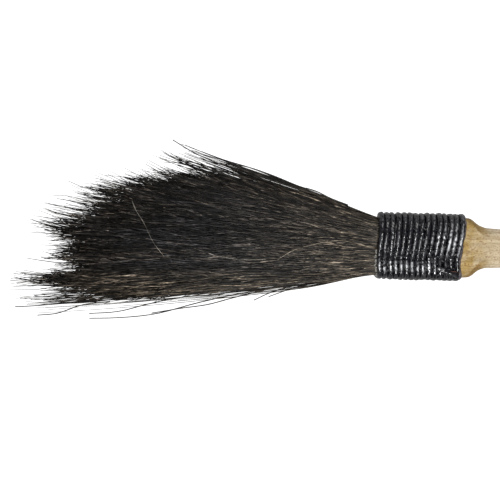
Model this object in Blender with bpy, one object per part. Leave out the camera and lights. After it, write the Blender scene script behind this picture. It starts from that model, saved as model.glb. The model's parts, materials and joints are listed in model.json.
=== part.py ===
"""A striping and calligraphy brush: a sword-shaped tuft of dark hair, bound with waxed thread to a handle.

The brush lies on its flat side. It is modelled about its own axis and then placed by one empty.
Brush frame: X runs along the axis, from 0 at the front edge of the binding, where the hair leaves it, to the
butt of the handle. Y points to the short side of the sword-shaped tuft, and Z is 0 on the middle plane.
"""

import math
import random

import bmesh
import bpy
from mathutils import Vector

MM = 0.001

# Lengths along the brush.
HAIR_OUT = 51.5 * MM
BINDING_LENGTH = 12.4 * MM
HANDLE_OUT = 88.1 * MM
BUTT_X = BINDING_LENGTH + HANDLE_OUT

# The binding: one waxed thread wound over hair and wood. Its turns lean back towards the upper edge.
THREAD_RADIUS = 0.39 * MM
THREAD_TURNS = 15
BINDING_HALF_HEIGHT = 4.8 * MM
BINDING_HALF_THICKNESS = 3.6 * MM
BINDING_SQUARENESS = 2.6
BINDING_PITCH = (BINDING_LENGTH - 2 * THREAD_RADIUS) / (THREAD_TURNS - 1)
BINDING_LEAN = 0.075

# What the thread is wound on: the roots of the hair, and the wood behind them.
CLEARANCE = 0.3 * MM
CORE_HALF_HEIGHT = BINDING_HALF_HEIGHT - 2 * THREAD_RADIUS - CLEARANCE
CORE_HALF_THICKNESS = BINDING_HALF_THICKNESS - 2 * THREAD_RADIUS - CLEARANCE

# The wedge-shaped tongue of the handle, which the hair roots lie on.
TONGUE_TIP_X = 2.5 * MM
TONGUE_TIP_HALF_THICKNESS = 0.45 * MM
TONGUE_FULL_X = 10.6 * MM
TONGUE_HALF_HEIGHT = 2.4 * MM
HAIR_BUTT_X = 8.0 * MM

# The handle rests on flats this far from its middle plane.
FLAT_HALF_THICKNESS = BINDING_HALF_THICKNESS

# The free hair turns about an axis along Z where it leaves the binding.
FLEX_AXIS_X = 0.0
ROOT_NOSE_RADIUS = CORE_HALF_HEIGHT
TUFT_SEAT_RADIUS = ROOT_NOSE_RADIUS + CLEARANCE
TUFT_NEAREST_X = -3.0 * MM

# The sword-shaped fan of free hair: its straight upper edge rises at FAN_RISE, its lower edge droops by
# FAN_DROOP, and its tips lie on a curve from the longest hair at the lower edge to the shortest at the upper.
ROOT_HALF_HEIGHT = 4.2 * MM
FAN_RISE = math.tan(math.radians(17))
FAN_DROOP = 5.6 * MM
SHORTEST_HAIR_OUT = 26.0 * MM
FAN_LOCKS = 8
LOCK_GAP = 0.3 * MM

# How full a lock is against the share of its length, and how square its section is.
LOCK_WIDTHS = ((0, 1.0), (0.25, 1.0), (0.5, 1.0), (0.72, 0.98), (0.86, 0.9), (0.95, 0.7), (1, 0.35))
LOCK_SQUARENESS = 4.0

# Half thickness of the tuft against distance from the binding.
TUFT_THICKNESS = (
    (0.0 * MM, 2.45 * MM),
    (10.0 * MM, 3.1 * MM),
    (20.0 * MM, 3.2 * MM),
    (35.0 * MM, 2.5 * MM),
    (51.5 * MM, 1.1 * MM),
)

# Outline of the handle behind the binding: X, half height, half thickness and squareness of the section.
HANDLE_OUTLINE = (
    (12.8 * MM, 4.15 * MM, 3.05 * MM, 3.4),
    (13.3 * MM, 3.95 * MM, 3.0 * MM, 3.4),
    (13.9 * MM, 3.42 * MM, 2.95 * MM, 3.3),
    (14.7 * MM, 3.02 * MM, 2.85 * MM, 3.2),
    (15.9 * MM, 2.80 * MM, 2.75 * MM, 3.0),
    (19.0 * MM, 2.70 * MM, 2.65 * MM, 2.8),
    (26.0 * MM, 2.90 * MM, 2.80 * MM, 2.6),
    (42.0 * MM, 3.85 * MM, 3.55 * MM, 2.4),
    (60.0 * MM, 4.50 * MM, 4.05 * MM, 2.3),
    (76.0 * MM, 4.25 * MM, 3.85 * MM, 2.2),
    (90.0 * MM, 3.25 * MM, 3.0 * MM, 2.1),
    (98.0 * MM, 2.25 * MM, 2.1 * MM, 2.0),
)
BUTT_DOME_STEPS = 5
HANDLE_POINTS = 24
HANDLE_STATIONS_BETWEEN = 3

# Beads of glue and lacquer along the binding's edges, between two angles round it.
FRONT_BEAD_X = -0.34 * MM
FRONT_BEAD_RADIUS = 0.18 * MM
FRONT_BEAD_DEPTH = 0.26 * MM
FRONT_BEAD_ANGLES = (150, 275)
REAR_BEAD_X = BINDING_LENGTH + 0.22 * MM
REAR_BEAD_RADIUS = 0.16 * MM
REAR_BEAD_DEPTH = -0.1 * MM
REAR_BEAD_ANGLES = (35, 215)

# The plug of glue between the hair roots, ahead of the tongue.
GLUE_FRONT_X = -2.6 * MM
GLUE_BACK_X = TONGUE_TIP_X - CLEARANCE

SMOOTH_ANGLE = math.radians(50)

# The middle of the brush's overall box, so that the origin is below it on the resting plane.
OVERALL_MIDDLE_X = (BUTT_X - HAIR_OUT) / 2
OVERALL_MIDDLE_Y = 1.35 * MM


def clear_scene():
    for obj in list(bpy.data.objects):
        bpy.data.objects.remove(obj)


def material(name, color, roughness):
    made = bpy.data.materials.new(name)
    made.use_nodes = True
    shader = made.node_tree.nodes["Principled BSDF"]
    shader.inputs["Base Color"].default_value = (*color, 1.0)
    shader.inputs["Roughness"].default_value = roughness
    shader.inputs["Metallic"].default_value = 0.0
    return made


def place(obj, parent, finish):
    """Links an object under an empty, with its material and smooth shading."""
    bpy.context.scene.collection.objects.link(obj)
    obj.parent = parent
    obj.data.materials.append(finish)
    if obj.type == "MESH":
        obj.data.shade_smooth()
        obj.data.set_sharp_from_angle(angle=SMOOTH_ANGLE)


def signed_power(value, power):
    return math.copysign(abs(value) ** power, value)


def rounded_point(half_height, half_thickness, squareness, angle):
    """Y and Z of a point on a rounded section. Squareness 2 is an ellipse, and more is nearer a rectangle."""
    power = 2 / squareness
    y = half_height * signed_power(math.cos(angle), power)
    z = half_thickness * signed_power(math.sin(angle), power)
    return y, z


def smooth_between(table, x):
    """The values of a table of rows (x, value, ...) at x, on a smooth curve that doesn't overshoot."""
    x = min(max(x, table[0][0]), table[-1][0])
    after = next(i for i in range(1, len(table)) if x <= table[i][0])
    x0, x1 = table[after - 1][0], table[after][0]

    def slope(row, column):
        if row in (0, len(table) - 1):
            return 0.0
        before = (table[row][column] - table[row - 1][column]) / (table[row][0] - table[row - 1][0])
        beyond = (table[row + 1][column] - table[row][column]) / (table[row + 1][0] - table[row][0])
        return 0.0 if before * beyond <= 0 else 2 * before * beyond / (before + beyond)

    share = (x - x0) / (x1 - x0)
    values = []
    for column in range(1, len(table[0])):
        start, end = table[after - 1][column], table[after][column]
        leaving = slope(after - 1, column) * (x1 - x0)
        arriving = slope(after, column) * (x1 - x0)
        values.append(
            start * (2 * share**3 - 3 * share**2 + 1)
            + leaving * (share**3 - 2 * share**2 + share)
            + end * (3 * share**2 - 2 * share**3)
            + arriving * (share**3 - share**2)
        )
    return values


def loft(name, sections):
    """A closed solid through rings that have equally many points, with a face across each end."""
    bm = bmesh.new()
    rings = [[bm.verts.new(point) for point in section] for section in sections]
    count = len(rings[0])
    for ring, following in zip(rings, rings[1:]):
        for i in range(count):
            j = (i + 1) % count
            bm.faces.new((ring[i], ring[j], following[j], following[i]))
    bm.faces.new(list(reversed(rings[0])))
    bm.faces.new(rings[-1])
    bmesh.ops.recalc_face_normals(bm, faces=bm.faces)
    mesh = bpy.data.meshes.new(name)
    bm.to_mesh(mesh)
    bm.free()
    return bpy.data.objects.new(name, mesh)


def cord(name, points, radius):
    """A round cord along the points, closed at both ends."""
    curve = bpy.data.curves.new(name, "CURVE")
    curve.dimensions = "3D"
    curve.twist_mode = "MINIMUM"
    curve.bevel_depth = radius
    curve.bevel_resolution = 1
    curve.use_fill_caps = True
    spline = curve.splines.new("POLY")
    spline.points.add(len(points) - 1)
    for target, point in zip(spline.points, points):
        target.co = (*point, 1.0)
    return bpy.data.objects.new(name, curve)


def tongue_half_thickness(x):
    share = min(max((x - TONGUE_TIP_X) / (TONGUE_FULL_X - TONGUE_TIP_X), 0.0), 1.0)
    return TONGUE_TIP_HALF_THICKNESS + share * (CORE_HALF_THICKNESS - TONGUE_TIP_HALF_THICKNESS)


def handle_section(x, half_height, half_thickness, squareness):
    """A ring of the handle, planed flat where it would be thicker than its resting flats."""
    ring = []
    for i in range(HANDLE_POINTS):
        angle = 2 * math.pi * (i + 0.5) / HANDLE_POINTS
        y, z = rounded_point(half_height, half_thickness, squareness, angle)
        z = min(max(z, -FLAT_HALF_THICKNESS), FLAT_HALF_THICKNESS)
        ring.append(Vector((x, y, z)))
    return ring


def make_handle():
    """The wooden handle: a wedge-shaped tongue, a seat for the binding, a shoulder, a waist and a grip."""
    tongue_end = HAIR_BUTT_X + CLEARANCE / 2
    seat_start = HAIR_BUTT_X + 1.5 * MM
    shoulder_x = HANDLE_OUTLINE[0][0]
    stations = [
        (TONGUE_TIP_X, TONGUE_HALF_HEIGHT, TONGUE_TIP_HALF_THICKNESS, BINDING_SQUARENESS),
        (tongue_end, TONGUE_HALF_HEIGHT, tongue_half_thickness(HAIR_BUTT_X), BINDING_SQUARENESS),
        (seat_start, CORE_HALF_HEIGHT, tongue_half_thickness(seat_start), BINDING_SQUARENESS),
        (TONGUE_FULL_X, CORE_HALF_HEIGHT, CORE_HALF_THICKNESS, BINDING_SQUARENESS),
        (shoulder_x - 0.1 * MM, CORE_HALF_HEIGHT, CORE_HALF_THICKNESS, BINDING_SQUARENESS),
    ]
    for row, following in zip(HANDLE_OUTLINE, HANDLE_OUTLINE[1:]):
        for step in range(HANDLE_STATIONS_BETWEEN):
            x = row[0] + (following[0] - row[0]) * step / HANDLE_STATIONS_BETWEEN
            stations.append((x, *smooth_between(HANDLE_OUTLINE, x)))
    dome_x, dome_height, dome_thickness, dome_squareness = HANDLE_OUTLINE[-1]
    for step in range(BUTT_DOME_STEPS):
        turn = math.radians(80) * step / (BUTT_DOME_STEPS - 1)
        x = dome_x + (BUTT_X - dome_x) * math.sin(turn) / math.sin(math.radians(80))
        stations.append((x, dome_height * math.cos(turn), dome_thickness * math.cos(turn), dome_squareness))
    return loft("handle", [handle_section(*station) for station in stations])


def binding_point(x, angle, inset=0.0):
    """A point on the path of the thread round the binding, or nearer the axis by inset."""
    half_height = BINDING_HALF_HEIGHT - THREAD_RADIUS - inset
    half_thickness = BINDING_HALF_THICKNESS - THREAD_RADIUS - inset
    y, z = rounded_point(half_height, half_thickness, BINDING_SQUARENESS, angle)
    return Vector((x + BINDING_LEAN * y, y, z))


def make_binding():
    """The binding thread: its first end lies under the turns, rises at the front, and then winds back."""
    points_per_turn = 22
    tail_depth = 2 * THREAD_RADIUS + 0.06 * MM
    tail_y = -(BINDING_HALF_HEIGHT - THREAD_RADIUS - tail_depth)
    first_turn_x = THREAD_RADIUS
    tail = [
        Vector((HAIR_BUTT_X - 0.4 * MM, tail_y, 0)),
        Vector((4.6 * MM, tail_y, 0)),
        Vector((1.75 * MM, tail_y, 0)),
        Vector((1.1 * MM, tail_y - 0.06 * MM, 0.04 * MM)),
        Vector((0.68 * MM, tail_y - 0.26 * MM, 0.2 * MM)),
    ]
    start_angle = math.radians(165)
    end_angle = start_angle - 2 * math.pi * (THREAD_TURNS - 1)
    steps = points_per_turn * (THREAD_TURNS - 1)
    turns = []
    for step in range(steps + 1):
        angle = start_angle + (end_angle - start_angle) * step / steps
        x = first_turn_x + BINDING_PITCH * (THREAD_TURNS - 1) * step / steps
        turns.append(binding_point(x, angle))
    return cord("binding_thread", tail + turns, THREAD_RADIUS)


def make_bead(name, x, radius, depth, angles):
    """A thin run of lacquer or glue along part of one edge of the binding."""
    first, last = (math.radians(angle) for angle in angles)
    steps = 18
    points = [
        binding_point(x, first + (last - first) * step / steps, depth)
        for step in range(steps + 1)
    ]
    return cord(name, points, radius)


def make_root_hair(name, side):
    """The bound roots of the hair on one face of the tongue, which leave the binding as a round nose."""
    inner_at_tip = TONGUE_TIP_HALF_THICKNESS + CLEARANCE
    xs = [-ROOT_NOSE_RADIUS * math.sin(math.radians(turn)) for turn in (74, 62, 48, 32, 16)]
    xs += [0.0, TONGUE_TIP_X, (TONGUE_TIP_X + HAIR_BUTT_X) / 2, HAIR_BUTT_X]
    sections = []
    for x in xs:
        nose = max(-x, 0.0)
        half_height = math.sqrt(ROOT_NOSE_RADIUS**2 - nose**2)
        inner = inner_at_tip if x < TONGUE_TIP_X else tongue_half_thickness(x) + CLEARANCE
        start = math.asin((inner / CORE_HALF_THICKNESS) ** (BINDING_SQUARENESS / 2))
        steps = 12
        ring = []
        for step in range(steps + 1):
            angle = start + (math.pi - 2 * start) * step / steps
            y, z = rounded_point(half_height, CORE_HALF_THICKNESS, BINDING_SQUARENESS, angle)
            ring.append(Vector((x, y, side * z)))
        sections.append(ring)
    return loft(name, sections)


def make_root_glue():
    """The plug of glue that fills the space between the hair roots, with rounded edges."""
    length = GLUE_BACK_X - GLUE_FRONT_X
    middle_x = (GLUE_BACK_X + GLUE_FRONT_X) / 2
    bm = bmesh.new()
    bmesh.ops.create_cube(bm, size=1.0)
    size = Vector((length, 2 * TONGUE_HALF_HEIGHT - 0.2 * MM, 2 * TONGUE_TIP_HALF_THICKNESS))
    bmesh.ops.scale(bm, vec=size, verts=bm.verts)
    bmesh.ops.translate(bm, vec=Vector((middle_x, 0, 0)), verts=bm.verts)
    mesh = bpy.data.meshes.new("root_glue")
    bm.to_mesh(mesh)
    bm.free()
    plug = bpy.data.objects.new("root_glue", mesh)
    bevel = plug.modifiers.new("rounded edges", "BEVEL")
    bevel.width = 0.2 * MM
    bevel.segments = 2
    return plug


def fan_y(share, out):
    """Y of the fan at this distance out from the binding. Share is 0 on its lower edge and 1 on its upper."""
    upper = ROOT_HALF_HEIGHT + FAN_RISE * out
    lower = -ROOT_HALF_HEIGHT - FAN_DROOP * (1 - (1 - out / HAIR_OUT) ** 2)
    return lower + (upper - lower) * share


def hair_out(share):
    """How far the hair at this share of the fan reaches out of the binding."""
    return SHORTEST_HAIR_OUT + (HAIR_OUT - SHORTEST_HAIR_OUT) * (1 - share**2)


def tuft_half_thickness(share, out):
    middle = smooth_between(TUFT_THICKNESS, out)[0]
    edge = 2 * share - 1
    return middle * math.sqrt(1 - (0.8 * edge) ** 2)


def make_lock(name, low_share, high_share, side, reach):
    """One lock of the tuft: the hair between two shares of the fan, on one side of its middle plane."""
    middle_share = (low_share + high_share) / 2
    at_root = (fan_y(low_share, -TUFT_NEAREST_X), fan_y(high_share, -TUFT_NEAREST_X))
    nearest_y = 0.0 if at_root[0] * at_root[1] <= 0 else min(map(abs, at_root))
    seat_x = math.sqrt(max(TUFT_SEAT_RADIUS**2 - nearest_y**2, 0.0))
    first_out = max(seat_x, -TUFT_NEAREST_X)
    last_out = min(hair_out(middle_share) * reach, HAIR_OUT)
    points = 12
    sections = []
    for along, width in LOCK_WIDTHS:
        out = first_out + (last_out - first_out) * along
        low, high = fan_y(low_share, out) + LOCK_GAP / 2, fan_y(high_share, out) - LOCK_GAP / 2
        inner = LOCK_GAP / 2
        outer = tuft_half_thickness(middle_share, out)
        half_width = (high - low) / 2 * width
        half_thickness = (outer - inner) / 2 * width
        middle_y, middle_z = (high + low) / 2, (inner + outer) / 2
        ring = []
        for i in range(points):
            angle = 2 * math.pi * (i + 0.5) / points
            y, z = rounded_point(half_width, half_thickness, LOCK_SQUARENESS, angle)
            ring.append(Vector((-out, middle_y + y, side * (middle_z + z))))
        sections.append(ring)
    return loft(name, sections)


def make_tuft():
    """The free hair, as locks side by side across the fan in a face layer and a back layer."""
    uneven = random.Random(20)
    locks = []
    for layer, side in (("face", 1), ("back", -1)):
        for k in range(FAN_LOCKS):
            name = f"hair_lock_{layer}_{k + 1}"
            reach = 1.0 if k == 0 else 1.0 - 0.04 * uneven.random()
            locks.append(make_lock(name, k / FAN_LOCKS, (k + 1) / FAN_LOCKS, side, reach))
    return locks


def main():
    clear_scene()
    wood = material("wood", (0.60, 0.47, 0.29), 0.55)
    thread = material("waxed thread", (0.018, 0.018, 0.021), 0.3)
    hair = material("dark hair", (0.03, 0.025, 0.022), 0.45)
    root = material("brown root hair", (0.08, 0.06, 0.045), 0.5)
    glue = material("glue", (0.55, 0.45, 0.28), 0.25)
    lacquer = material("lacquer", (0.2, 0.13, 0.06), 0.2)

    brush = bpy.data.objects.new("brush_axis", None)
    bpy.context.scene.collection.objects.link(brush)
    brush.location = (-OVERALL_MIDDLE_X, -OVERALL_MIDDLE_Y, BINDING_HALF_THICKNESS)
    flex = bpy.data.objects.new("tuft_flex_axis", None)
    bpy.context.scene.collection.objects.link(flex)
    flex.parent = brush
    flex.location = (FLEX_AXIS_X, 0, 0)

    place(make_handle(), brush, wood)
    place(make_binding(), brush, thread)
    place(make_root_hair("hair_root_face", 1), brush, root)
    place(make_root_hair("hair_root_back", -1), brush, root)
    place(make_root_glue(), brush, glue)
    front_bead = make_bead(
        "front_glue_bead", FRONT_BEAD_X, FRONT_BEAD_RADIUS, FRONT_BEAD_DEPTH, FRONT_BEAD_ANGLES
    )
    rear_bead = make_bead(
        "rear_lacquer_bead", REAR_BEAD_X, REAR_BEAD_RADIUS, REAR_BEAD_DEPTH, REAR_BEAD_ANGLES
    )
    place(front_bead, brush, glue)
    place(rear_bead, brush, lacquer)
    for lock in make_tuft():
        place(lock, flex, hair)


main()
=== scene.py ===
"""Looks for the striping and calligraphy brush: every hair of its sword-shaped tuft, the twisted and
lacquered binding thread, and the carved and varnished handle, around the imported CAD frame.

Brush frame, in millimetres: x runs along the brush's axis from 0 at the front edge of the binding towards
the butt, y points to the short side of the tuft, and z is 0 on the middle plane. "Out" is -x, the distance
out of the binding. The brush frame's origin is the joint that the free hair turns about.
"""

import json
import math

import bpy
import numpy as np
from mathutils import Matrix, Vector


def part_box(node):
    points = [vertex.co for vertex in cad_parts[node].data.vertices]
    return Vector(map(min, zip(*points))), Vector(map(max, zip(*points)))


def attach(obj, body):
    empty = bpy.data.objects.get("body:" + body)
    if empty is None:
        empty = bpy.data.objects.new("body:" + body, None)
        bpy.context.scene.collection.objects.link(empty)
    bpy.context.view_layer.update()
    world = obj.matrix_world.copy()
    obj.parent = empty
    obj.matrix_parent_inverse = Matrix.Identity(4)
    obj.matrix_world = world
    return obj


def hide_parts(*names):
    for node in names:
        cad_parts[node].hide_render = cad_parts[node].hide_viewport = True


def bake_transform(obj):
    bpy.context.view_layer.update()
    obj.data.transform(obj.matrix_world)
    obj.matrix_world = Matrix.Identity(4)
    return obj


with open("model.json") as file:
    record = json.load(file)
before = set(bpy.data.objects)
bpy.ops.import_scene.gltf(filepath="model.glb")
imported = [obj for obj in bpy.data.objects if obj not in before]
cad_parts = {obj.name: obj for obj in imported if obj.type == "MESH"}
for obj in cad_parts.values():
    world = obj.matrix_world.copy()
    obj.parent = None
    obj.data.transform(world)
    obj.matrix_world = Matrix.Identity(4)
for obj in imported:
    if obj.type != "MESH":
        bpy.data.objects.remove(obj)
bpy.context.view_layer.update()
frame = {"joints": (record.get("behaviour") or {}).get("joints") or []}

MM = 0.001
ORIGIN = np.array(frame["joints"][0]["pos_m"])
FLOOR_Z = 0.0

# The binding.
BINDING_LENGTH = 11.95
THREAD_RADIUS = 0.4
THREAD_TURNS = 15
PLIES = 3
PLY_LAY = 2.0
PLY_SWELL = 0.05
SAMPLES_PER_TURN = 230
TUCKED_LENGTH = 2.9
WAX_LUMPS = 240
FRONT_DROPS = 30
BINDING_SEED = 11

# The handle, from its CAD node.
handle_low, handle_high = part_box("handle")
BUTT_X = (handle_high.x - ORIGIN[0]) / MM
FLAT_HALF_THICKNESS = (ORIGIN[2] - handle_low.z) / MM
HANDLE_START_X = 11.8
NECK_X = 19.0
BUTT_ROUNDING_X = 98.0
BLANK_HALF_HEIGHT = 4.35
KNIFE_MARK = 0.012
KNIFE_SEED = 5

# The camera looks straight down at this width of the middle plane, in mm, with the brush rolled a little.
VIEW_WIDTH = 71.43
VIEW_LENS = 85.0
VIEW_SENSOR = 36.0
VIEW_ROLL = math.radians(1.49)
VIEW_CENTRE_BEFORE_BINDING = 17.83
VIEW_CENTRE_BELOW_AXIS = 0.67

# The lights: name, place and size in metres, and power in watts. They aim at the hair's root.
LIGHTS = (
    ("fill", (0.0, 0.32, 0.24), (0.30, 0.22), 0.75),
    ("key", (-0.02, -0.27, 0.255), (0.09, 0.06), 0.9),
    ("top", (-0.01, -0.02, 0.45), (0.12, 0.075), 1.1),
)
LIGHT_TARGET = (-10, 0, 0)
BACKDROP_GLOW = 0.85
FLOOR_GLOW = 0.25
WORLD_GLOW = 0.12
FLOOR_HALF_SIZE = 3.0
FLOOR_GAP = 0.00005

# The free hair. Shares run across the fan, from 0 on its lower edge to 1 on its upper edge. Reaches are how
# far the outermost hairs stand out there, and raggedness multiplies how much shorter other hairs are.
FAN_SHARES = (0.0, 0.12, 0.25, 0.4, 0.55, 0.7, 0.8, 0.9, 1.0)
FAN_REACHES = (53.0, 51.6, 51.8, 50.4, 48.2, 40.8, 34.2, 30.6, 28.6)
FAN_RAGGEDNESS = (2.2, 2.1, 1.6, 1.2, 1.1, 1.05, 1.2, 1.6, 1.6)
ROOT_LOWER, ROOT_UPPER = -4.5, 4.4
LOWEST_SHARE, HIGHEST_SHARE = 0.035, 0.95
LOWER_EDGE_RISE = -0.152
FAN_OPENING = 0.425
LOWER_CURL, UPPER_CURL = 0.0009, 0.0013
THICKNESS_OUTS = (-1.5, 0.0, 4.0, 12.0, 22.0, 35.0, 52.0)
HALF_THICKNESSES = (2.5, 2.6, 2.85, 3.05, 3.0, 2.3, 0.9)
MOST_DEPTH = 3.3
SECTION_SQUARENESS = 2.5

# The single hairs and their clumps. Shortenings are the mean and spread of how much shorter than the fan's
# reach the clumps are.
SHELL_HAIRS, SHELL_CLUMPS, SHELL_SHORTENING = 7600, 620, (9.0, 3.6)
INNER_HAIRS, INNER_CLUMPS, INNER_SHORTENING = 2400, 260, (12.0, 4.0)
SHELL_DEPTH = 0.78
HAIR_START = -1.5
HAIR_RADIUS = 0.068
HAIR_SIDES = 3
SHORTEST_HAIR = 14
LENGTH_SCATTER = 1.8
CLUMP_GATHER = 0.85
CLUMP_DRIFT, HAIR_DRIFT, DEPTH_DRIFT = 0.010, 0.009, 0.004
CLUMP_SPLAY, HAIR_SPLAY = 0.5, 0.25
TIP_LIFT = 1.1
TIP_HOOK = 25
CORE_SHORTER = 16
DARK_STRAY_RADIUS, DARK_STRAY_TONE = 0.12, 0.1
PALE_STRAY_RADIUS, PALE_STRAY_TONE = 0.036, 0.8
HAIR_SEED = 7

# Waves in the hair: which way they go, their size, and their shortest and longest length.
HAIR_WAVES = (("y", 0.30, 9, 24), ("y", 0.08, 3.5, 8), ("z", 0.12, 5, 15))

# Hairs that stand clear of the tuft: count, lowest and highest share, which way they lean, farthest reach.
LOOSE_EDGES = ((95, 0.93, 1.03, 1, 28.5), (18, -0.035, 0.03, -1, 51.0))


def to_row(points):
    """Points in the brush frame, in mm, as points in the row frame, in metres."""
    return ORIGIN + np.asarray(points, float) * MM


def between_rows(rows, slopes, low, share, span):
    """Values on a smooth curve through a table's rows, at a share of the span from row low to the next."""
    return (
        rows[low] * (2 * share**3 - 3 * share**2 + 1)
        + slopes[low] * span * (share**3 - 2 * share**2 + share)
        + rows[low + 1] * (3 * share**2 - 2 * share**3)
        + slopes[low + 1] * span * (share**3 - share**2)
    )


# ---------------------------------------------------------------- meshes


def mesh_object(name, points, quads, finish, triangles=()):
    """A smooth-shaded mesh object of quads and triangles through points given in the brush frame."""
    quads = np.asarray(quads, np.int64).reshape(-1, 4)
    triangles = np.asarray(triangles, np.int64).reshape(-1, 3)
    corners = np.concatenate([quads.ravel(), triangles.ravel()])
    sizes = np.concatenate([np.full(len(quads), 4), np.full(len(triangles), 3)])
    starts = np.concatenate([[0], np.cumsum(sizes)[:-1]])
    mesh = bpy.data.meshes.new(name)
    mesh.vertices.add(len(points))
    mesh.vertices.foreach_set("co", to_row(points).astype(np.float32).ravel())
    mesh.loops.add(len(corners))
    mesh.loops.foreach_set("vertex_index", corners.astype(np.int32))
    mesh.polygons.add(len(sizes))
    mesh.polygons.foreach_set("loop_start", starts.astype(np.int32))
    mesh.update(calc_edges=True)
    mesh.shade_smooth()
    mesh.materials.append(finish)
    made = bpy.data.objects.new(name, mesh)
    bpy.context.scene.collection.objects.link(made)
    return made


def set_attribute(obj, name, values):
    """Stores one number per point, which the material reads by name."""
    attribute = obj.data.attributes.new(name, "FLOAT", "POINT")
    attribute.data.foreach_set("value", np.asarray(values, np.float32).ravel())


def tube_bundle(name, paths, radii, sides, finish):
    """Closed tubes along paths, an array of tubes by points by 3, with a radius at each point."""
    tubes, stations = paths.shape[:2]
    along = np.gradient(paths, axis=1)
    along /= np.linalg.norm(along, axis=2, keepdims=True) + 1e-9
    across = np.cross(along, [0.0, 0.0, 1.0])
    across /= np.linalg.norm(across, axis=2, keepdims=True) + 1e-9
    upward = np.cross(across, along)
    turn = 2 * np.pi * np.arange(sides) / sides
    ring = (
        across[:, :, None] * np.cos(turn)[:, None] + upward[:, :, None] * np.sin(turn)[:, None]
    )
    points = paths[:, :, None] + ring * radii[:, :, None, None]
    index = np.arange(tubes * stations * sides).reshape(tubes, stations, sides)
    following = np.roll(index, -1, axis=2)
    quads = np.stack(
        [index[:, :-1], index[:, 1:], following[:, 1:], following[:, :-1]], axis=-1
    )
    ends = []
    for k in range(1, sides - 1):
        ends.append(np.stack([index[:, 0, 0], index[:, 0, k], index[:, 0, k + 1]], axis=-1))
        ends.append(np.stack([index[:, -1, 0], index[:, -1, k + 1], index[:, -1, k]], axis=-1))
    return mesh_object(name, points.reshape(-1, 3), quads, finish, np.concatenate(ends))


def skin(name, rings, finish):
    """A closed skin through rings, an array of rings by points by 3, with a triangle fan over each end."""
    count, around = rings.shape[:2]
    index = np.arange(count * around).reshape(count, around)
    following = np.roll(index, -1, axis=1)
    quads = np.stack([index[:-1], following[:-1], following[1:], index[1:]], axis=-1)
    first, last = count * around, count * around + 1
    points = np.concatenate([rings.reshape(-1, 3), [rings[0].mean(0), rings[-1].mean(0)]])
    front = np.stack([np.full(around, first), following[0], index[0]], axis=-1)
    back = np.stack([np.full(around, last), index[-1], following[-1]], axis=-1)
    return mesh_object(name, points, quads, finish, np.concatenate([front, back]))


def smooth_noise(rng, count, length, period):
    """Rows of smooth random numbers of about unit size, which change over about this period of samples."""
    knots = max(int(length / period) + 4, 4)
    values = rng.normal(size=(count, knots))
    at = np.arange(length) / period
    low = at.astype(int)
    share = at - low
    share = share * share * (3 - 2 * share)
    return values[:, low] * (1 - share) + values[:, low + 1] * share


# ---------------------------------------------------------------- materials


def add_node(tree, kind, inputs=None, **settings):
    """A node with its settings, and its inputs either linked from a socket or set to a value."""
    made = tree.nodes.new(kind)
    for name, value in settings.items():
        setattr(made, name, value)
    for name, value in (inputs or {}).items():
        if isinstance(value, bpy.types.NodeSocket):
            tree.links.new(value, made.inputs[name])
        else:
            made.inputs[name].default_value = value
    return made


def new_material(name):
    """A material, its node tree and its shader."""
    made = bpy.data.materials.new(name)
    made.use_nodes = True
    return made, made.node_tree, made.node_tree.nodes["Principled BSDF"]


def feed(tree, shader, **inputs):
    """Links or sets a shader's inputs, whose names have underscores for spaces."""
    for name, value in inputs.items():
        socket = shader.inputs[name.replace("_", " ")]
        if isinstance(value, bpy.types.NodeSocket):
            tree.links.new(value, socket)
        else:
            socket.default_value = value


def maths(tree, operation, first, second):
    return add_node(tree, "ShaderNodeMath", {0: first, 1: second}, operation=operation).outputs[0]


def ramp(tree, factor, stops):
    """A colour ramp from a list of (position, (r, g, b))."""
    made = add_node(tree, "ShaderNodeValToRGB", {"Fac": factor})
    elements = made.color_ramp.elements
    while len(elements) < len(stops):
        elements.new(0.5)
    for element, (position, color) in zip(elements, stops):
        element.position = position
        element.color = (*color, 1.0)
    return made.outputs["Color"]


def mixed(tree, factor, first, second, blend="MIX"):
    made = add_node(tree, "ShaderNodeMix", data_type="RGBA", blend_type=blend)
    for socket, value in ((made.inputs[0], factor), (made.inputs[6], first), (made.inputs[7], second)):
        if isinstance(value, bpy.types.NodeSocket):
            tree.links.new(value, socket)
        else:
            socket.default_value = value
    return made.outputs[2]


def noise(tree, vector, scale, detail=2.0):
    return add_node(
        tree, "ShaderNodeTexNoise", {"Vector": vector, "Scale": scale, "Detail": detail}
    ).outputs["Fac"]


def bump(tree, height, strength, distance):
    return add_node(
        tree, "ShaderNodeBump", {"Height": height, "Strength": strength, "Distance": distance}
    ).outputs["Normal"]


def attribute(tree, name):
    return add_node(tree, "ShaderNodeAttribute", attribute_name=name).outputs["Fac"]


def hair_material(name, dark, brown):
    """Hair whose colour goes from dark to brown by its warmth, with flecks of painted sheen along every
    hair.
    """
    made, tree, shader = new_material(name)
    warmth = attribute(tree, "warmth")
    tone = attribute(tree, "tone")
    out = attribute(tree, "out")
    place = add_node(tree, "ShaderNodeCombineXYZ", {"X": out, "Y": maths(tree, "MULTIPLY", tone, 400.0)})
    # Painted highlight: bright flecks along each hair stand in for glints, scaled by the hair's own tone.
    short_sheen_noise = noise(tree, place.outputs[0], 1.1, 1.0)
    long_sheen_noise = noise(tree, place.outputs[0], 0.35, 1.0)
    sheen_noise = maths(tree, "MULTIPLY", maths(tree, "ADD", short_sheen_noise, long_sheen_noise), 0.5)
    base = mixed(tree, warmth, (*dark, 1.0), (*brown, 1.0))
    painted_glint = maths(tree, "MULTIPLY", maths(tree, "POWER", sheen_noise, 6.0), 80.0)
    light = maths(tree, "MULTIPLY", maths(tree, "ADD", maths(tree, "MULTIPLY", tone, 3.0), 0.12), painted_glint)
    scaled = mixed(tree, 1.0, base, light, "MULTIPLY")
    feed(tree, shader, Base_Color=scaled, Roughness=0.42, Specular_IOR_Level=0.14)
    return made


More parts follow.
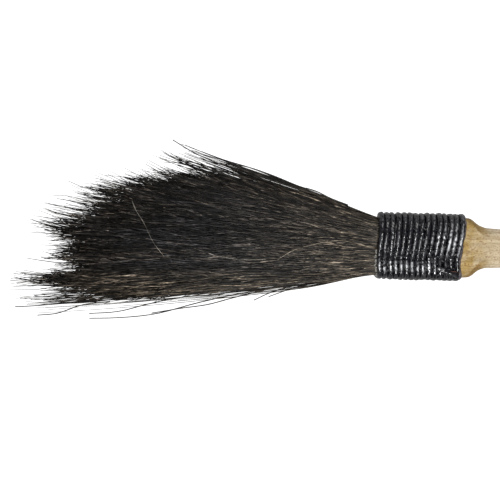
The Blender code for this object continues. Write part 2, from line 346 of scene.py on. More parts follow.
def thread_material():
    """Black twisted thread under wax and lacquer: nearly black, with a broken gloss and painted highlights.
    """
    made, tree, shader = new_material("waxed_thread")
    place = add_node(tree, "ShaderNodeTexCoord").outputs["Object"]
    blotch = noise(tree, place, 2000.0, 4.0)
    fine = noise(tree, place, 5200.0, 3.0)
    black = ramp(tree, blotch, [(0.35, (0.002, 0.002, 0.003)), (0.75, (0.012, 0.012, 0.017))])
    # Painted highlight: a pale colour on the thread's ridges, broken into patches, stands in for the lamps'
    # glints.
    highlight_patches = ramp(tree, blotch, [(0.40, (0.05, 0.05, 0.05)), (0.58, (1, 1, 1))])
    painted_highlight = maths(tree, "MULTIPLY", attribute(tree, "painted_highlight"), highlight_patches)
    color = mixed(tree, painted_highlight, black, (0.80, 0.81, 0.84, 1.0))
    rough = ramp(tree, blotch, [(0.46, (0.12, 0.12, 0.12)), (0.68, (0.34, 0.34, 0.34))])
    feed(
        tree,
        shader,
        Base_Color=color,
        Roughness=rough,
        Normal=bump(tree, fine, 0.35, 0.00006),
        Specular_IOR_Level=0.75,
    )
    return made


def film_material():
    """The lacquer film between the turns of the thread: black and glossy."""
    made, tree, shader = new_material("lacquer_film")
    place = add_node(tree, "ShaderNodeTexCoord").outputs["Object"]
    fine = noise(tree, place, 2500.0)
    color = ramp(tree, fine, [(0.3, (0.004, 0.004, 0.005)), (0.8, (0.012, 0.011, 0.013))])
    feed(tree, shader, Base_Color=color, Roughness=maths(tree, "MULTIPLY", fine, 0.6))
    return made


def wood_material():
    """Pale close-grained wood, with pinkish pores, and amber varnish that thins out from the binding."""
    made, tree, shader = new_material("handle_wood")
    place = add_node(tree, "ShaderNodeTexCoord").outputs["Object"]
    grain_place = add_node(tree, "ShaderNodeMapping", {"Vector": place, "Scale": (160.0, 2600.0, 2600.0)})
    grain = noise(tree, grain_place.outputs[0], 1.0, 4.0)
    pore_place = add_node(tree, "ShaderNodeMapping", {"Vector": place, "Scale": (3600.0, 5200.0, 5200.0)})
    pores = noise(tree, pore_place.outputs[0], 1.0, 2.0)
    cloud = noise(tree, place, 800.0, 4.0)
    wood = ramp(
        tree, grain, [(0.3, (0.34, 0.275, 0.165)), (0.5, (0.47, 0.385, 0.25)), (0.7, (0.58, 0.49, 0.345))]
    )
    open_pores = ramp(tree, pores, [(0.5, (0, 0, 0)), (0.68, (0.9, 0.9, 0.9))])
    pored = mixed(tree, open_pores, wood, (0.27, 0.165, 0.10, 1))
    varnish = attribute(tree, "varnish")
    patches = maths(tree, "SUBTRACT", maths(tree, "MULTIPLY", cloud, 3.0), 0.5)
    coat = maths(tree, "MULTIPLY", varnish, patches)
    tinted = mixed(tree, coat, pored, (0.66, 0.53, 0.22, 1.0), "MULTIPLY")
    # Darker and more amber on the scooped facets of the shoulder, next to the binding.
    facet_darkened = mixed(tree, attribute(tree, "facet"), tinted, (0.76, 0.66, 0.44, 1.0), "MULTIPLY")
    # Painted light: the neck's upper and lower edges are made paler, as if lit by light wrapping round
    # them.
    color = mixed(tree, attribute(tree, "painted_rim_light"), facet_darkened, (1.30, 1.34, 1.44, 1.0), "MULTIPLY")
    rough = maths(tree, "SUBTRACT", 0.6, maths(tree, "MULTIPLY", varnish, 0.15))
    feed(
        tree,
        shader,
        Base_Color=color,
        Roughness=rough,
        Specular_IOR_Level=0.3,
        Normal=bump(tree, grain, 0.25, 0.00006),
    )
    return made


def glue_material(name, low, high, roughness, transmission):
    """Glue, lacquer or a fibre, clouded between two colours."""
    made, tree, shader = new_material(name)
    place = add_node(tree, "ShaderNodeTexCoord").outputs["Object"]
    cloud = noise(tree, place, 1500.0)
    feed(
        tree,
        shader,
        Base_Color=ramp(tree, cloud, [(0.3, low), (0.7, high)]),
        Roughness=roughness,
        Transmission_Weight=transmission,
        Normal=bump(tree, cloud, 0.3, 0.00005),
    )
    return made


# ---------------------------------------------------------------- hair


def fan_y(share, out):
    """Height of the fan at this distance out."""
    root = ROOT_LOWER + (ROOT_UPPER - ROOT_LOWER) * share
    rise = LOWER_EDGE_RISE + FAN_OPENING * share
    curl = LOWER_CURL * (1 - share) ** 3 + UPPER_CURL * share**4
    return root + rise * out + curl * out**2


def hair_out(share):
    """How far the outermost hair at this share of the fan reaches out of the binding."""
    return np.interp(share, FAN_SHARES, FAN_REACHES)


def half_thickness(out):
    """Half the tuft's thickness at this distance out."""
    return np.interp(out, THICKNESS_OUTS, HALF_THICKNESSES)


def tuft_section(turn):
    """Shares of the tuft's half width and half thickness round its section, a rounded rectangle."""
    power = 2 / SECTION_SQUARENESS
    across = np.sign(np.cos(turn)) * np.abs(np.cos(turn)) ** power
    depth = np.sign(np.sin(turn)) * np.abs(np.sin(turn)) ** power
    return across, depth


def hair_places(rng, count, nearest, farthest):
    """Shares and depths of hairs spread round the tuft's section, between two shares of its radius."""
    turn = 2 * np.pi * (np.arange(count) + rng.random(count)) / count
    radius = farthest - (farthest - nearest) * rng.random(count) ** 1.5
    across, depth = tuft_section(turn)
    shares = LOWEST_SHARE + (HIGHEST_SHARE - LOWEST_SHARE) * (1 + across * radius) / 2
    return shares, depth * radius


def grow_hair(rng, shares, depths, clumps, shortening, stations=26):
    """Paths, radii and tones of hairs, in clumps that draw together at their tips and share a shade."""
    count = len(shares)
    clump_share = rng.random(clumps)
    clump_depth = rng.uniform(-1, 1, clumps)
    distance = (shares[:, None] - clump_share) ** 2 * 9 + (depths[:, None] - clump_depth) ** 2
    clump = (distance + rng.random((count, clumps)) * 0.01).argmin(axis=1)

    outermost = hair_out(shares)
    ragged = np.interp(shares, FAN_SHARES, FAN_RAGGEDNESS)
    short = np.abs(rng.normal(*shortening, clumps))[clump] * ragged
    short = short + rng.normal(0, LENGTH_SCATTER, count)
    reach = np.clip(outermost - np.clip(short, -0.4, None), SHORTEST_HAIR, None)
    step = np.linspace(0, 1, stations)
    out = HAIR_START + (reach[:, None] - HAIR_START) * step
    free = np.clip(out, 0, None)
    near_tip = np.clip(out / outermost[:, None], 0, 1.1)

    gather = CLUMP_GATHER * step**5
    gathered_share = shares[:, None] + (clump_share[clump] - shares)[:, None] * gather
    gathered_depth = depths[:, None] + (clump_depth[clump] - depths)[:, None] * gather
    y = fan_y(gathered_share, free)
    z = gathered_depth * half_thickness(out)

    midfan = 4 * shares * (1 - shares)
    inside = np.sqrt(midfan)
    tip_lift = TIP_LIFT * midfan**0.7
    y = y + tip_lift[:, None] * (near_tip**6 - 0.5 * near_tip**3)
    clump_drift = rng.normal(0, CLUMP_DRIFT, clumps)[clump]
    drift = clump_drift + np.clip(rng.standard_t(3, count), -4, 4) * HAIR_DRIFT * inside
    splay = rng.normal(0, CLUMP_SPLAY, clumps)[clump] + rng.normal(0, HAIR_SPLAY, count)
    y = y + drift[:, None] * free + splay[:, None] * near_tip**4
    y = y + rng.normal(0, 0.35, count)[:, None] * np.clip(step - 0.8, 0, 1) ** 2 * TIP_HOOK
    z = z + rng.normal(0, DEPTH_DRIFT, count)[:, None] * free
    z = z + rng.normal(0, HAIR_SPLAY, count)[:, None] * near_tip**4
    wave_ramp = np.clip(free / 4, 0, 1) * (0.25 + 0.75 * inside)[:, None]
    waving = {"y": y, "z": z}
    for way, size, shortest, longest in HAIR_WAVES:
        length = rng.uniform(shortest, longest, count)[:, None]
        phase = rng.uniform(0, 2 * np.pi, count)[:, None]
        waving[way] += size * wave_ramp * np.sin(2 * np.pi * free / length + phase)
    z = np.clip(z, -MOST_DEPTH, MOST_DEPTH)

    taper = 1 - 0.5 * np.clip((step - 0.8) / 0.2, 0, 1) ** 2
    radii = HAIR_RADIUS * rng.uniform(0.7, 1.35, count)[:, None] * taper
    tone = rng.random(count) ** 3 * rng.uniform(0.5, 1.5, clumps)[clump]
    return np.stack([-out, y, z], axis=-1), radii, tone


def warmth_of(paths, tone):
    """From 0 where the hair is bluish black to over 1 where it is brown.

    It is brown at the root and along the lower edge, and a little at the tips, and some hairs are all over.
    """
    out, y = -paths[:, :, 0], paths[:, :, 1]
    root = np.exp(-((np.clip(out, 0, None) / 15.5) ** 2))
    lower = np.clip((-y - 3.7) / 3, 0, 1) * np.clip((46 - out) / 12, 0, 1)
    own = np.modf(tone * 977)[0] ** 4
    tip = np.clip(np.linspace(-3, 1, paths.shape[1]), 0, 1)
    return np.clip(0.8 * root + 1.1 * lower + 0.35 * own[:, None] + 0.3 * tip, 0, 1.3)


def hair_piece(name, paths, radii, tone, finish):
    """Hairs as thin tubes that know their warmth, their distance out and their tone."""
    made = tube_bundle(name, paths, radii, HAIR_SIDES, finish)
    set_attribute(made, "warmth", np.repeat(warmth_of(paths, tone), HAIR_SIDES, axis=1))
    set_attribute(made, "out", np.repeat(-paths[:, :, 0], HAIR_SIDES, axis=1))
    set_attribute(made, "tone", np.broadcast_to(tone[:, None, None], (*paths.shape[:2], HAIR_SIDES)))
    return made


def make_core(finish):
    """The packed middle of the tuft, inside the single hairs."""
    around, stations = 48, 40
    across, depth = tuft_section(2 * np.pi * np.arange(around) / around)
    rings = []
    for step in np.linspace(0, 1, stations):
        size = 0.80 * math.sqrt(max(1 - step**6, 0.0)) + 0.01
        share = 0.47 + 0.5 * across * size
        reach = hair_out(share) - CORE_SHORTER
        out = -2.0 + (reach + 2.0) * step
        y = fan_y(share, np.clip(out, 0, None))
        z = depth * size * half_thickness(out)
        rings.append(np.stack([-out, y, z], axis=-1))
    made = skin("hair_core", np.array(rings), finish)
    points = np.array([v.co for v in made.data.vertices])
    out = (ORIGIN[0] - points[:, 0]) / MM
    set_attribute(made, "out", out)
    set_attribute(made, "warmth", 0.5 * np.exp(-np.clip(out, 0, None) / 9))
    set_attribute(made, "tone", np.full(len(points), 0.05))
    return made


# Single dark hairs that leave the tuft and pale ones that lie across it, each as (out, y, z) points.
DARK_STRAYS = (
    (
        (13.6, -6.4, 0.4), (19.6, -7.5, 0.6), (25.2, -8.9, 0.8),
        (31.1, -10.6, 0.6), (36.4, -11.3, 0.2), (40.5, -11.5, 0),
    ),
    ((15.6, -6.8, 1), (20.4, -8.1, 1.2), (23.4, -9, 1), (27.4, -9.7, 0.7), (31.6, -10.5, 0.5)),
    ((21.6, -7.6, -0.4), (28.2, -8.3, 0), (32, -9.2, 0.3), (36.4, -10.4, 0.4), (40.5, -10.8, 0.3)),
    ((37.5, -9, 0.6), (41.5, -9.6, 0.8), (45.2, -10.9, 0.9), (47.8, -11.2, 0.8)),
    ((39.5, -9.1, 0.2), (44.5, -9.5, 0.3), (49.5, -10, 0.3), (51.1, -10.1, 0.2)),
    ((8.6, -5.6, 0.5), (12.6, -6.4, 0.6), (15.1, -7.3, 0.6), (17.1, -8.3, 0.5)),
    ((6.5, -5.2, 0.8), (11.2, -6.3, 1), (15, -7.7, 1.1)),
    ((15.6, 9, 0.5), (22.2, 10.9, 0.8), (26.4, 12.6, 1), (29.2, 14.2, 1.1)),
    ((11.6, 8.1, 0.4), (17.6, 10.4, 0.5), (22.2, 11.7, 0.4), (25.1, 12.7, 0.3)),
    ((7.5, 6.8, 0.3), (11.6, 8.3, 0.4), (15.6, 9.8, 0.5), (19.2, 10.8, 0.5), (21.6, 11, 0.4)),
    ((4, 5.6, 0.3), (6.5, 6.5, 0.4), (8.7, 7.5, 0.5), (10.1, 7.9, 0.5)),
)
PALE_STRAYS = (
    ((34.6, 5.4, 2.5), (34, 4.1, 2.75), (32.8, 2.3, 2.95), (31.4, -0.4, 3), (29.8, -2.4, 2.9)),
    (
        (-0.2, -0.7, 2.9), (2.1, 0, 3.3), (5.4, 0.5, 3.5),
        (8.8, -0.1, 3.55), (11.7, -1, 3.5), (14.2, -2.6, 3.4),
    ),
    ((15.6, -2.4, 3.45), (18.5, -2.5, 3.5), (21.9, -2.2, 3.5), (25.6, -1.1, 3.4)),
)


def stray_paths(routes, stations=20):
    """Smooth paths through the points of each stray's route."""
    paths = []
    for route in routes:
        points = np.array(route, float)
        points[:, 0] *= -1
        length = np.concatenate([[0], np.cumsum(np.linalg.norm(np.diff(points, axis=0), axis=1))])
        slopes = np.gradient(points, length, axis=0)
        at = np.linspace(0, length[-1], stations)
        low = np.clip(np.searchsorted(length, at, side="right") - 1, 0, len(points) - 2)
        span = (length[low + 1] - length[low])[:, None]
        share = ((at - length[low]) / span[:, 0])[:, None]
        paths.append(between_rows(points, slopes, low, share, span))
    return np.array(paths)


def make_strays(name, routes, radius, tone, finish):
    """Single hairs of one tone along their routes, a little thinner towards their tips."""
    paths = stray_paths(routes)
    taper = np.linspace(1, 0.7, paths.shape[1])
    radii = np.broadcast_to(radius * taper, paths.shape[:2])
    return hair_piece(name, paths, radii, np.full(len(paths), tone), finish)


def make_loose_edges(rng, finish):
    """Hairs that stand a little clear of the tuft's upper and lower edges."""
    stations = 16
    step = np.linspace(0, 1, stations)
    paths = []
    for count, least, most, side, farthest in LOOSE_EDGES:
        start = rng.uniform(-1, 7, count)
        reach = start + (farthest - start) * rng.uniform(0.45, 1.0, count)
        out = start[:, None] + (reach - start)[:, None] * step
        share = rng.uniform(least, most, count)[:, None]
        bound_share = np.clip(share, 0.04, 0.95)
        share = bound_share + (share - bound_share) * np.clip(out / 8, 0, 1)
        stand = rng.exponential(0.008, count)[:, None] * side
        y = fan_y(share, out) + stand * (out - start[:, None])
        y = y + rng.normal(0, 0.2, count)[:, None] * np.sin(np.pi * step)
        z = rng.uniform(-1.2, 1.2, count)[:, None] * (1 - 0.5 * step)
        paths.append(np.stack([-out, y, z], axis=-1))
    paths = np.concatenate(paths)
    radii = HAIR_RADIUS * (1 - 0.5 * step) * rng.uniform(0.8, 1.3, len(paths))[:, None]
    return hair_piece("hair_edges", paths, radii, rng.random(len(paths)) ** 2 * 0.7, finish)


def make_hair():
    """The tuft: a shell of hairs in four pieces round inner hairs and a packed core, and the strays."""
    rng = np.random.default_rng(HAIR_SEED)
    dark_hair = hair_material("dark_hair", (0.0062, 0.0063, 0.0072), (0.042, 0.034, 0.025))
    pale_hair = hair_material("pale_hair", (0.085, 0.08, 0.07), (0.11, 0.09, 0.065))

    shares, depths = hair_places(rng, SHELL_HAIRS, SHELL_DEPTH, 1.0)
    paths, radii, tone = grow_hair(rng, shares, depths, SHELL_CLUMPS, SHELL_SHORTENING)
    inner_places = hair_places(rng, INNER_HAIRS, 0.0, SHELL_DEPTH)
    inner = grow_hair(rng, *inner_places, INNER_CLUMPS, INNER_SHORTENING)

    quarters = (
        ("hair_face_lower", (depths >= 0) & (shares < 0.5), "face", (1, 2, 3, 4)),
        ("hair_face_upper", (depths >= 0) & (shares >= 0.5), "face", (5, 6, 7, 8)),
        ("hair_back_lower", (depths < 0) & (shares < 0.5), "back", (1, 2, 3, 4)),
        ("hair_back_upper", (depths < 0) & (shares >= 0.5), "back", (5, 6, 7, 8)),
    )
    made = []
    for name, chosen, layer, locks in quarters:
        piece = hair_piece(name, paths[chosen], radii[chosen], tone[chosen], dark_hair)
        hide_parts(*[f"hair_lock_{layer}_{k}" for k in locks])
        made.append(piece)
    made.append(hair_piece("hair_inner", *inner, dark_hair))
    core = make_core(dark_hair)
    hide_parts("hair_root_face", "hair_root_back")
    made.append(core)
    made.append(make_loose_edges(rng, dark_hair))
    strays = (
        ("hair_strays_dark", DARK_STRAYS, DARK_STRAY_RADIUS, DARK_STRAY_TONE, dark_hair),
        ("hair_strays_pale", PALE_STRAYS, PALE_STRAY_RADIUS, PALE_STRAY_TONE, pale_hair),
    )
    made.extend(make_strays(*kind) for kind in strays)
    for piece in made:
        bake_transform(piece)


# ---------------------------------------------------------------- binding

# The bound section: each flat side's outward direction (y, z) and its distance from the axis.
BOUND_SIDES = (
    (0.0, 1.0, 3.2),
    (0.0, -1.0, 3.1),
    (1.0, 0.0, 4.4),
    (-1.0, 0.0, 4.4),
    (0.625, 0.781, 4.0),
    (-0.43, 0.903, 3.71),
    (0.625, -0.781, 3.9),
    (-0.625, -0.781, 3.9),
)


def bound_section(angle, inset=0.0):
    """Y and z round the bound section, which is flat sided with rounded corners."""
    inside = 0
    for y, z, distance in BOUND_SIDES:
        towards = np.clip(y * np.cos(angle) + z * np.sin(angle), 0, None)
        inside = inside + (towards / (distance - inset)) ** 14
    radius = inside ** (-1 / 14)
    return radius * np.cos(angle), radius * np.sin(angle)


def even_angles(count):
    """Angles that step evenly along the outline of the bound section."""
    fine = np.linspace(0, 2 * np.pi, 4001)
    y, z = bound_section(fine)
    length = np.concatenate([[0], np.cumsum(np.hypot(np.diff(y), np.diff(z)))])
    return np.interp(np.linspace(0, length[-1], count, endpoint=False), length, fine)


def lean(y, along):
    """How far back a turn stands at this height.

    It leans back towards the top, a rear turn more than a front one, and runs back again at the bottom.
    """
    return (0.03 + 0.12 * along) * np.clip(y, -1.9, 3.0) + 0.16 * np.clip(-1.9 - y, 0, 2.4)


def thread_rings(path, plies_phase, lumps, sides):
    """Rings round a path of thread: plies twisted together, swollen by lumps of wax."""
    along = np.gradient(path, axis=0)
    step = np.linalg.norm(along, axis=1)
    distance = np.cumsum(step)
    along /= step[:, None]
    outward = path * [0, 1, 1]
    outward -= along * (outward * along).sum(axis=1, keepdims=True)
    outward /= np.linalg.norm(outward, axis=1, keepdims=True)
    across = np.cross(along, outward)
    turn = 2 * np.pi * np.arange(sides) / sides
    twist = np.cos(PLIES * (turn[None, :] - 2 * np.pi * distance[:, None] / PLY_LAY) + plies_phase)
    radius = THREAD_RADIUS * (1.0 + PLY_SWELL * twist) + lumps
    ring = across[:, None] * np.cos(turn)[:, None] + outward[:, None] * np.sin(turn)[:, None]
    return path[:, None] + ring * radius[:, :, None]


def painted_highlight_on(rings):
    """How much painted highlight the thread has: only on its ridges, most on the rear turns' face."""
    sides = rings.shape[1]
    ridge = np.clip(np.sin(2 * np.pi * np.arange(sides) / sides), 0, 1) ** 16
    x, y, z = np.moveaxis(rings, 2, 0)
    rear = np.exp(-(((x - 10.2) / 1.9) ** 2) - ((y - 1.0) / 1.4) ** 2)
    bevel = 0.7 * np.exp(-(((y + 3.0) / 0.6) ** 2)) * np.clip((10 - x) / 2, 0, 1)
    middle = 0.12 * np.exp(-(((y + 0.1) / 1.4) ** 2))
    top = 0.10 * np.clip((y - 3.2) / 0.8, 0, 1) * np.clip(x / 6, 0, 1)
    return ridge * np.clip((rear + bevel + middle) * (z > 0) + top, 0, 1)


def make_turns(rng, finish):
    """The thread wound round the hair and the handle's tongue, from the front turn to the rear one."""
    count = SAMPLES_PER_TURN * THREAD_TURNS
    angle = math.radians(270) - np.resize(even_angles(SAMPLES_PER_TURN), count)
    progress = np.arange(count) / count
    y, z = bound_section(angle)
    pitch = (BINDING_LENGTH - 2 * THREAD_RADIUS) / (THREAD_TURNS - 1)
    wander = smooth_noise(rng, 2, count, SAMPLES_PER_TURN * 0.3)
    x = THREAD_RADIUS + pitch * (THREAD_TURNS * progress - 0.5) + lean(y, progress) + 0.05 * wander[0]
    swell = 1 + 0.007 * wander[1]
    path = np.stack([x, y * swell, z * swell], axis=-1)
    sides = 16
    wide = smooth_noise(rng, sides, count, 26).T
    fine = smooth_noise(rng, sides, count, 8).T
    rings = thread_rings(path, 0.0, 0.022 * wide + 0.022 * fine, sides)
    made = skin("binding_turns", rings, finish)
    # Stores the painted highlight on the thread's ridges for the material.
    set_attribute(made, "painted_highlight", np.concatenate([painted_highlight_on(rings).ravel(), [0, 0]]))
    return made


def make_tucked_end(rng, finish):
    """The end of the thread, pulled forwards under the last turns, which bulge over it."""
    count = 60
    step = np.linspace(0, 1, count)
    x = BINDING_LENGTH - 0.5 - TUCKED_LENGTH * step
    y = -3.9 + 0.9 * step
    z = 2.75 + 0.55 * np.sin(np.pi * step * 0.6)
    path = np.stack([x, y, z], axis=-1)
    sides = 14
    lumps = 0.05 * smooth_noise(rng, sides, count, 7).T
    return skin("binding_tucked_end", thread_rings(path, 1.0, lumps, sides), finish)


def make_wax(rng, finish):
    """Lumps of wax and lacquer that bridge the turns, most of them at the lower rear."""
    paths = []
    radii = []
    stations = 7
    for _ in range(WAX_LUMPS):
        along = rng.random()
        if rng.random() < 0.45:
            angle = math.radians(rng.uniform(95, 150))
        else:
            angle = rng.uniform(0, 2 * np.pi)
        spread = np.linspace(-1, 1, stations)
        angles = angle + spread * rng.uniform(0.02, 0.07)
        y, z = bound_section(angles, -0.22)
        x = 0.5 + (BINDING_LENGTH - 1.0) * along + lean(y, along) + spread * rng.uniform(-0.5, 0.5)
        paths.append(np.stack([x, y, z], axis=-1))
        radii.append(rng.uniform(0.05, 0.13) * np.sqrt(1.05 - spread**2))
    return tube_bundle("binding_wax", np.array(paths), np.array(radii), 7, finish)


def make_film(finish):
    """The film of lacquer under and between the turns."""
    around = 96
    angle = 2 * np.pi * np.arange(around) / around
    rings = []
    for along in np.linspace(0, 1, 24):
        y, z = bound_section(angle, 0.1)
        x = 0.3 + (BINDING_LENGTH - 0.6) * along + lean(y, along)
        rings.append(np.stack([x, y, z], axis=-1))
    return skin("binding_film", np.array(rings), finish)


def make_rear_fillet(rng, finish):
    """Greyish lacquer that fills the corner between the last turn and the handle's shoulder."""
    around = 240
    angle = 2 * np.pi * np.arange(around + 1) / around
    lumps = smooth_noise(rng, 2, around + 1, 6)
    lumps[:, -1] = lumps[:, 0]
    y, z = bound_section(angle, 0.10)
    x = BINDING_LENGTH - 0.22 + lean(y, 1.0) + 0.04 * lumps[0]
    path = np.stack([x, y, z], axis=-1)
    radii = 0.40 + 0.04 * lumps[1]
    return tube_bundle("rear_fillet", path[None], radii[None], 10, finish)


def make_front_drops(rng, finish):
    """Whitish drops of glue along the lower half of the front edge, where it wicked out of the binding."""
    paths = []
    radii = []
    stations = 7
    for at in np.linspace(104, 172, FRONT_DROPS):
        angle = math.radians(at + rng.normal(0, 2))
        y, z = bound_section(angle, 0.15)
        spread = np.linspace(-1, 1, stations)
        size = rng.uniform(0.05, 0.15)
        x = lean(y, 0.0) - 0.12 + rng.normal(0, 0.1) + spread * size * rng.uniform(0.9, 1.6)
        paths.append(np.stack([x, np.full(stations, y), np.full(stations, z)], axis=-1))
        radii.append(size * np.sqrt(1.04 - spread**2))
    return tube_bundle("front_drops", np.array(paths), np.array(radii), 10, finish)


def make_fibre(finish):
    """A reddish fibre caught under the tucked end."""
    path = np.array([(10.3, -3.35, 3.45), (10.6, -3.45, 3.6), (11.0, -3.4, 3.58), (11.3, -3.55, 3.4)])
    radii = np.array([0.02, 0.035, 0.035, 0.015])
    return tube_bundle("binding_fibre", path[None], radii[None], 6, finish)


def make_binding():
    """The wound thread with its tucked end, wax and film, and the glue and lacquer at its two edges."""
    rng = np.random.default_rng(BINDING_SEED)
    thread = thread_material()
    lacquer = film_material()
    clear = glue_material("clear_glue", (0.16, 0.15, 0.13), (0.50, 0.48, 0.44), 0.15, 0.35)
    grey = glue_material("grey_lacquer", (0.03, 0.026, 0.03), (0.15, 0.13, 0.14), 0.15, 0.0)
    reddish = glue_material("red_fibre", (0.09, 0.035, 0.025), (0.16, 0.06, 0.04), 0.6, 0.0)
    turns = make_turns(rng, thread)
    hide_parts("binding_thread")
    fillet = make_rear_fillet(rng, grey)
    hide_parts("rear_lacquer_bead")
    drops = make_front_drops(rng, clear)
    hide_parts("front_glue_bead", "root_glue")
    fibre = make_fibre(reddish)
    tucked = make_tucked_end(rng, thread)
    wax = make_wax(rng, lacquer)
    film = make_film(lacquer)
    slots = (
        (turns, "thread"),
        (tucked, "thread"),
        (fibre, "thread"),
        (wax, "lacquer"),
        (film, "lacquer"),
        (fillet, "lacquer"),
        (drops, "glue"),
    )
    for piece, slot in slots:
        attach(piece, "handle")


# ---------------------------------------------------------------- handle

# Outline of the handle behind the binding: x, half height, half thickness of the blank, its squareness, and
# half thickness of the scoop that is cut into the blank's upper and lower sides.
HANDLE_OUTLINE = np.array(
    (
        (HANDLE_START_X, BLANK_HALF_HEIGHT, 3.05, 3.4, 4.3),
        (13.2, 4.25, 3.05, 3.4, 3.75),
        (13.7, 4.00, 3.0, 3.4, 3.5),
        (14.2, 3.58, 2.95, 3.3, 3.34),
        (14.8, 3.18, 2.90, 3.2, 3.15),
        (15.9, 2.84, 2.80, 3.0, 2.95),
        (NECK_X, 2.74, 2.65, 2.8, 2.80),
        (26.0, 2.90, 2.80, 2.6, 3.0),
        (42.0, 3.85, 3.55, 2.4, 3.75),
        (60.0, 4.50, 4.05, 2.3, 4.2),
        (76.0, 4.25, 3.85, 2.2, 4.0),
        (90.0, 3.25, 3.0, 2.1, 3.1),
        (BUTT_ROUNDING_X, 2.25, 2.1, 2.0, 2.15),
    )
)


def radial(half_height, half_depth, squareness, angle):
    """Distance from the axis to a rounded section in the direction of angle."""
    inside = (np.abs(np.cos(angle)) / half_height) ** squareness
    inside = inside + (np.abs(np.sin(angle)) / half_depth) ** squareness
    return inside ** (-1 / squareness)


def smooth_columns(table, x):
    """Each column of a table whose first column is x, on a smooth curve that doesn't overshoot."""
    xs = table[:, 0]
    rows = table[:, 1:]
    steps = np.diff(rows, axis=0) / np.diff(xs)[:, None]
    product = steps[:-1] * steps[1:]
    same_way = product > 0
    slopes = np.zeros_like(rows)
    slopes[1:-1] = np.where(same_way, 2 * product / np.where(same_way, steps[:-1] + steps[1:], 1), 0)
    low = np.clip(np.searchsorted(xs, x, side="right") - 1, 0, len(xs) - 2)
    span = (xs[low + 1] - xs[low])[:, None]
    share = (x[:, None] - xs[low][:, None]) / span
    return between_rows(rows, slopes, low, share, span)


def handle_ring(at, outline, angle):
    """A ring round the handle, where a scoop is cut from it, and where painted light makes the neck's edges
    paler.
    """
    height, thickness, squareness, scoop = outline
    blank = radial(BLANK_HALF_HEIGHT + 0.02 * max(at - 16, 0), thickness, squareness, angle)
    cut = radial(height, scoop, 2.4 + 0.8 * math.exp(-(((at - 18) / 2.5) ** 2)), angle)
    reach = np.minimum(blank, cut)
    facet = np.clip((blank - cut) / 0.12, 0, 1) * min(max((16.0 - at) / 1.4, 0), 1)
    # Painted light on the neck's upper and lower edges, fading in and out along the neck.
    rim_light_span = np.interp(at, (15, 17, 20, 30), (0, 1, 1, 0))
    painted_rim_light = np.clip((np.abs(np.cos(angle)) - 0.6) / 0.3, 0, 1) * rim_light_span
    y = reach * np.cos(angle)
    z = np.clip(reach * np.sin(angle), -FLAT_HALF_THICKNESS, FLAT_HALF_THICKNESS)
    return np.stack([np.full(len(angle), at), y, z], axis=-1), facet, painted_rim_light


def butt_rings(last):
    """Rings that round off the butt behind the handle's last full ring."""
    rings = []
    for turn in np.radians(np.linspace(8, 84, 12)):
        at = BUTT_ROUNDING_X + (BUTT_X - BUTT_ROUNDING_X) * math.sin(turn) / math.sin(math.radians(84))
        shrunk = last * [0, math.cos(turn), math.cos(turn)]
        rings.append(shrunk + [at, 0, 0])
    return rings


def knife_marked(rings):
    """The rings with the shallow uneven flats that a knife leaves, which fade out behind the shoulder."""
    flats = 12
    around = rings.shape[1]
    knife = smooth_noise(np.random.default_rng(KNIFE_SEED), flats, len(rings), 9).T[:, :, None]
    knife = np.repeat(knife, around // flats, axis=1)
    knife = sum(np.roll(knife, k, axis=1) for k in range(-6, 7)) / 13
    fade = np.exp(-np.clip(rings[:, :, :1] - 14, 0, None) / 5) * KNIFE_MARK
    return rings * (1 + knife * fade * [0, 1, 1])


def make_handle():
    """The handle from behind the binding to its butt, with the knife-cut scoops of its shoulder."""
    around = 144
    angle = 2 * np.pi * (np.arange(around) + 0.5) / around
    shoulder = np.arange(HANDLE_START_X, NECK_X, 0.12)
    grip = np.arange(NECK_X, BUTT_ROUNDING_X, 0.8)
    x = np.concatenate([shoulder, grip, [BUTT_ROUNDING_X]])
    outlines = smooth_columns(HANDLE_OUTLINE, x)
    rings, facets, painted_rim_lights = zip(*[handle_ring(at, outline, angle) for at, outline in zip(x, outlines)])
    rings = np.array([*rings, *butt_rings(rings[-1])])
    made = skin("handle_wood", knife_marked(rings), wood_material())
    points = np.array([v.co for v in made.data.vertices])
    along = (points[:, 0] - ORIGIN[0]) / MM
    set_attribute(made, "varnish", np.clip(1.0 - (along - 12.4) / 4.6, 0, 1) ** 1.3)
    for name, values in (("facet", facets), ("painted_rim_light", painted_rim_lights)):
        full = np.zeros(len(points))
        full[: len(values) * around] = np.concatenate(values)
        set_attribute(made, name, full)
    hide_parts("handle")
    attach(made, "handle")


# ---------------------------------------------------------------- studio


def camera_glow(tree, unseen):
    """A glow that is stronger where the camera sees the backdrop than where it lights the brush."""
    seen = add_node(tree, "ShaderNodeLightPath").outputs["Is Camera Ray"]
    return maths(tree, "ADD", maths(tree, "MULTIPLY", seen, BACKDROP_GLOW), unseen)


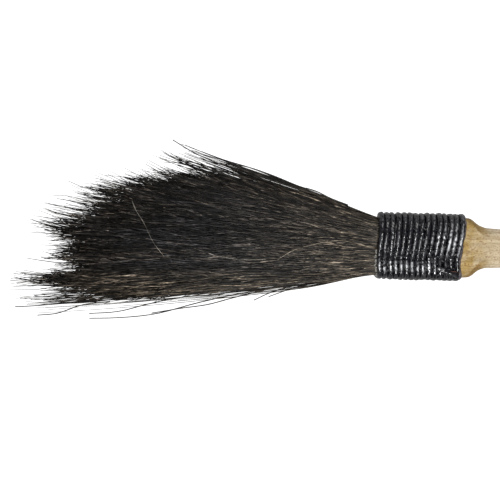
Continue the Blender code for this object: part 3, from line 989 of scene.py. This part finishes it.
def make_floor():
    """A plain pale floor just under the brush."""
    mesh = bpy.data.meshes.new("floor")
    sides = ((-1, -1), (1, -1), (1, 1), (-1, 1))
    corners = [(x * FLOOR_HALF_SIZE, y * FLOOR_HALF_SIZE, FLOOR_Z) for x, y in sides]
    mesh.from_pydata(corners, [], [(0, 1, 2, 3)])
    made, tree, shader = new_material("pale_floor")
    feed(
        tree,
        shader,
        Base_Color=(0.16, 0.16, 0.16, 1),
        Roughness=0.9,
        Emission_Color=(1, 1, 1, 1),
        Emission_Strength=camera_glow(tree, FLOOR_GLOW),
    )
    mesh.materials.append(made)
    floor = bpy.data.objects.new("floor", mesh)
    floor.location.z = -FLOOR_GAP
    bpy.context.scene.collection.objects.link(floor)


def add_light(name, place, size, power):
    """A soft rectangular light at a place in the row frame."""
    data = bpy.data.lights.new(name, "AREA")
    data.shape = "RECTANGLE"
    data.size, data.size_y = size
    data.energy = power
    light = bpy.data.objects.new(name, data)
    light.location = place
    target = Vector(to_row(LIGHT_TARGET))
    light.rotation_euler = (target - Vector(place)).to_track_quat("-Z", "Y").to_euler()
    bpy.context.scene.collection.objects.link(light)


def make_studio():
    """The floor, the lights and a plain pale world."""
    make_floor()
    for name, place, size, power in LIGHTS:
        add_light(name, place, size, power)
    world = bpy.data.worlds.new("studio")
    world.use_nodes = True
    tree = world.node_tree
    background = tree.nodes["Background"]
    tree.links.new(camera_glow(tree, WORLD_GLOW), background.inputs["Strength"])
    background.inputs["Color"].default_value = (1, 1, 1, 1)
    bpy.context.scene.world = world
    bpy.context.scene.view_settings.view_transform = "Standard"


def make_camera():
    """A camera straight above the tuft and the binding."""
    data = bpy.data.cameras.new("camera")
    data.lens = VIEW_LENS
    data.sensor_width = VIEW_SENSOR
    camera = bpy.data.objects.new("camera", data)
    right = Vector((math.cos(VIEW_ROLL), math.sin(VIEW_ROLL), 0))
    up = Vector((-math.sin(VIEW_ROLL), math.cos(VIEW_ROLL), 0))
    above = VIEW_WIDTH * MM * VIEW_LENS / VIEW_SENSOR
    place = Vector(ORIGIN) - right * VIEW_CENTRE_BEFORE_BINDING * MM - up * VIEW_CENTRE_BELOW_AXIS * MM
    camera.location = place + Vector((0, 0, above))
    camera.rotation_euler = (0, 0, VIEW_ROLL)
    bpy.context.scene.collection.objects.link(camera)
    bpy.context.scene.camera = camera


make_camera()
make_studio()
make_handle()
make_binding()
make_hair()
